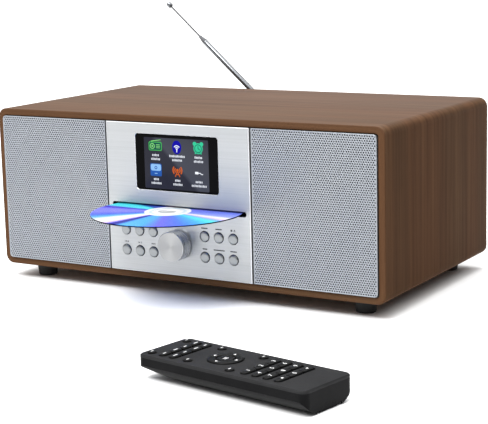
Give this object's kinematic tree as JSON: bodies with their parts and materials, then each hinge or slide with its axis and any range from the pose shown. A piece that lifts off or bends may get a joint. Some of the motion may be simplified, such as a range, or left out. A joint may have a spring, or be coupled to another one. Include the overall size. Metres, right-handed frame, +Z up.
{
  "type": "mini hifi system",
  "caption": "Walnut mini hifi cabinet with silver speaker grilles, colour display, slot-loading disc player, buttons, knob, telescopic antenna and handset.",
  "frame": {"origin": "on the floor, under the middle of the cabinet", "axes": "+X to the right seen from the front, +Y from the front to the back, +Z up"},
  "size_m": [0.4153, 0.4308, 0.2215],
  "materials": {
    "walnut": "satin walnut veneer with long grain",
    "black_board": "matt black",
    "brushed_silver": "fine horizontal brushing",
    "silver_mesh": "perforated and satin",
    "black_acrylic": "clear black, polished",
    "lcd": "lit colour panel",
    "silver_plastic": "satin silver",
    "spun_silver": "spun face, polished side",
    "black_plastic": "fine matt texture",
    "black_gloss": "smooth",
    "board_green": "solder-masked circuit board",
    "steel": "plain sheet and rod",
    "black_rubber": "matt",
    "cone_paper": "coated fibre",
    "polished_chrome": "bright drawn tube",
    "disc_mirror": "iridescent",
    "cell_wrap": "shrink wrap",
    "white_plastic": "moulded"
  },
  "bodies": {
    "cabinet": {"cabinet_sleeve": "walnut", "rear_panel": "black_board", "rear_panel_screws": "steel", "feet": "black_rubber", "front_baffle": "black_board", "fascia_panel": "brushed_silver", "left_grille": "silver_mesh", "right_grille": "silver_mesh", "display_window": "black_acrylic", "display_module": "lcd", "tact_switches": "black_plastic", "front_board": "board_green", "encoder_body": "steel", "speaker_frames": "black_plastic", "speaker_screws": "steel", "left_speaker_surround": "black_rubber", "right_speaker_surround": "black_rubber", "drive_chassis": "steel", "drive_cover": "steel", "loading_motor": "white_plastic", "main_board": "board_green", "rear_sockets": "black_plastic", "antenna_bracket": "black_plastic"},
    "left_speaker_cone": {"left_speaker_cone": "cone_paper"},
    "right_speaker_cone": {"right_speaker_cone": "cone_paper"},
    "power_button": {"power_button": "silver_plastic"},
    "source_button": {"source_button": "silver_plastic"},
    "preset_button": {"preset_button": "silver_plastic"},
    "previous_button": {"previous_button": "silver_plastic"},
    "play_pause_button": {"play_pause_button": "silver_plastic"},
    "next_button": {"next_button": "silver_plastic"},
    "alarm_button": {"alarm_button": "silver_plastic"},
    "sleep_button": {"sleep_button": "silver_plastic"},
    "eject_button": {"eject_button": "silver_plastic"},
    "info_button": {"info_button": "silver_plastic"},
    "menu_button": {"menu_button": "silver_plastic"},
    "mode_button": {"mode_button": "silver_plastic"},
    "encoder_plunger": {"encoder_plunger": "white_plastic"},
    "volume_knob": {"volume_knob": "spun_silver", "encoder_shaft": "steel"},
    "disc": {"disc": "disc_mirror"},
    "loading_roller": {"loading_roller": "black_rubber"},
    "traverse": {"traverse_frame": "steel", "drive_motors": "steel", "guide_rods": "polished_chrome"},
    "spindle_hub": {"spindle_hub": "white_plastic"},
    "pickup_sled": {"pickup_sled": "black_plastic"},
    "lead_screw": {"lead_screw": "polished_chrome"},
    "clamp_arm": {"clamp_arm": "steel"},
    "clamp_puck": {"clamp_puck": "white_plastic"},
    "antenna_swivel": {"antenna_swivel": "polished_chrome"},
    "antenna_outer_tube": {"antenna_outer_tube": "polished_chrome"},
    "antenna_middle_tube": {"antenna_middle_tube": "polished_chrome"},
    "antenna_rod": {"antenna_rod": "polished_chrome"},
    "handset": {"handset_lower_case": "black_plastic", "handset_upper_case": "black_plastic", "handset_batteries": "cell_wrap", "handset_board": "board_green"},
    "handset_keypad": {"handset_keypad": "black_rubber"},
    "handset_battery_door": {"handset_battery_door": "black_plastic"}
  },
  "joints": [
    {"name": "left_cone_stroke", "type": "slide", "parent": "cabinet", "child": "left_speaker_cone", "axis": [0, 1, 0], "range_m": [-0.0015, 0.0015], "stiffness_N_per_m": 1500, "deforming": ["left_speaker_surround"]},
    {"name": "right_cone_stroke", "type": "slide", "parent": "cabinet", "child": "right_speaker_cone", "axis": [0, 1, 0], "range_m": [-0.0015, 0.0015], "stiffness_N_per_m": 1500, "deforming": ["right_speaker_surround"]},
    {"name": "power_press", "type": "slide", "parent": "cabinet", "child": "power_button", "axis": [0, 1, 0], "range_m": [0, 0.0008], "stiffness_N_per_m": 900},
    {"name": "source_press", "type": "slide", "parent": "cabinet", "child": "source_button", "axis": [0, 1, 0], "range_m": [0, 0.0008], "stiffness_N_per_m": 900},
    {"name": "preset_press", "type": "slide", "parent": "cabinet", "child": "preset_button", "axis": [0, 1, 0], "range_m": [0, 0.0008], "stiffness_N_per_m": 900},
    {"name": "previous_press", "type": "slide", "parent": "cabinet", "child": "previous_button", "axis": [0, 1, 0], "range_m": [0, 0.0008], "stiffness_N_per_m": 900},
    {"name": "play_pause_press", "type": "slide", "parent": "cabinet", "child": "play_pause_button", "axis": [0, 1, 0], "range_m": [0, 0.0008], "stiffness_N_per_m": 900},
    {"name": "next_press", "type": "slide", "parent": "cabinet", "child": "next_button", "axis": [0, 1, 0], "range_m": [0, 0.0008], "stiffness_N_per_m": 900},
    {"name": "alarm_press", "type": "slide", "parent": "cabinet", "child": "alarm_button", "axis": [0, 1, 0], "range_m": [0, 0.0008], "stiffness_N_per_m": 900},
    {"name": "sleep_press", "type": "slide", "parent": "cabinet", "child": "sleep_button", "axis": [0, 1, 0], "range_m": [0, 0.0008], "stiffness_N_per_m": 900},
    {"name": "eject_press", "type": "slide", "parent": "cabinet", "child": "eject_button", "axis": [0, 1, 0], "range_m": [0, 0.0008], "stiffness_N_per_m": 900},
    {"name": "info_press", "type": "slide", "parent": "cabinet", "child": "info_button", "axis": [0, 1, 0], "range_m": [0, 0.0008], "stiffness_N_per_m": 900},
    {"name": "menu_press", "type": "slide", "parent": "cabinet", "child": "menu_button", "axis": [0, 1, 0], "range_m": [0, 0.0008], "stiffness_N_per_m": 900},
    {"name": "mode_press", "type": "slide", "parent": "cabinet", "child": "mode_button", "axis": [0, 1, 0], "range_m": [0, 0.0008], "stiffness_N_per_m": 900},
    {"name": "knob_push", "type": "slide", "parent": "cabinet", "child": "encoder_plunger", "axis": [0, 1, 0], "range_m": [0, 0.0005], "stiffness_N_per_m": 3000},
    {"name": "knob_turn", "type": "hinge", "parent": "encoder_plunger", "child": "volume_knob", "pos_m": [0, -0.1, 0.0432], "axis": [0, 1, 0], "continuous": true},
    {"name": "disc_load", "type": "slide", "parent": "cabinet", "child": "disc", "axis": [0, 1, 0], "range_m": [-0.0475, 0.095]},
    {"name": "roller_turn", "type": "hinge", "parent": "cabinet", "child": "loading_roller", "pos_m": [0, -0.072, 0.0666], "axis": [1, 0, 0], "range_deg": [-1445, 728]},
    {"name": "traverse_lift", "type": "slide", "parent": "cabinet", "child": "traverse", "axis": [0, 0, 1], "range_m": [0, 0.0017]},
    {"name": "spindle_turn", "type": "hinge", "parent": "traverse", "child": "spindle_hub", "pos_m": [0, -0.02, 0.066], "axis": [0, 0, 1], "continuous": true},
    {"name": "sled_travel", "type": "slide", "parent": "traverse", "child": "pickup_sled", "axis": [0, 1, 0], "range_m": [0, 0.033]},
    {"name": "lead_screw_turn", "type": "hinge", "parent": "traverse", "child": "lead_screw", "pos_m": [0.031, 0, 0.064], "axis": [0, 1, 0], "range_deg": [-10, 4000]},
    {"name": "clamp_swing", "type": "hinge", "parent": "cabinet", "child": "clamp_arm", "pos_m": [0, 0.048, 0.0772], "axis": [1, 0, 0], "range_deg": [-0.02, 1.1]},
    {"name": "clamp_puck_turn", "type": "hinge", "parent": "clamp_arm", "child": "clamp_puck", "pos_m": [0, -0.02, 0.075], "axis": [0, 0, 1], "continuous": true},
    {"name": "antenna_turn", "type": "hinge", "parent": "cabinet", "child": "antenna_swivel", "pos_m": [-0.025, 0.108, 0.116], "axis": [0, 1, 0], "range_deg": [-40, 130]},
    {"name": "antenna_fold", "type": "hinge", "parent": "antenna_swivel", "child": "antenna_outer_tube", "pos_m": [-0.025, 0.108, 0.116], "axis": [-0.6652, 0, -0.7466], "range_deg": [0, 90]},
    {"name": "antenna_middle_pull", "type": "slide", "parent": "antenna_outer_tube", "child": "antenna_middle_tube", "axis": [-0.7466, 0, 0.6652], "range_m": [0, 0.078]},
    {"name": "antenna_rod_pull", "type": "slide", "parent": "antenna_middle_tube", "child": "antenna_rod", "axis": [-0.7466, 0, 0.6652], "range_m": [-0.038, 0.035]},
    {"name": "handset_lift", "type": "slide", "parent": "cabinet", "child": "handset", "axis": [0, 0, 1], "range_m": [0, 0.15]},
    {"name": "handset_keys_press", "type": "slide", "parent": "handset", "child": "handset_keypad", "axis": [0, 0, -1], "range_m": [0, 0.0006], "stiffness_N_per_m": 4000},
    {"name": "battery_door_slide", "type": "slide", "parent": "handset", "child": "handset_battery_door", "axis": [0.9848, -0.1736, 0], "range_m": [0, 0.06]}
  ],
  "couplings": [
    {"joint": "roller_turn", "follows": "disc_load", "rad_per_m": -263.16},
    {"joint": "lead_screw_turn", "follows": "sled_travel", "rad_per_m": 2094.4},
    {"joint": "clamp_swing", "follows": "traverse_lift", "rad_per_m": 10.38},
    {"joint": "clamp_puck_turn", "follows": "spindle_turn", "ratio": 1}
  ]
}
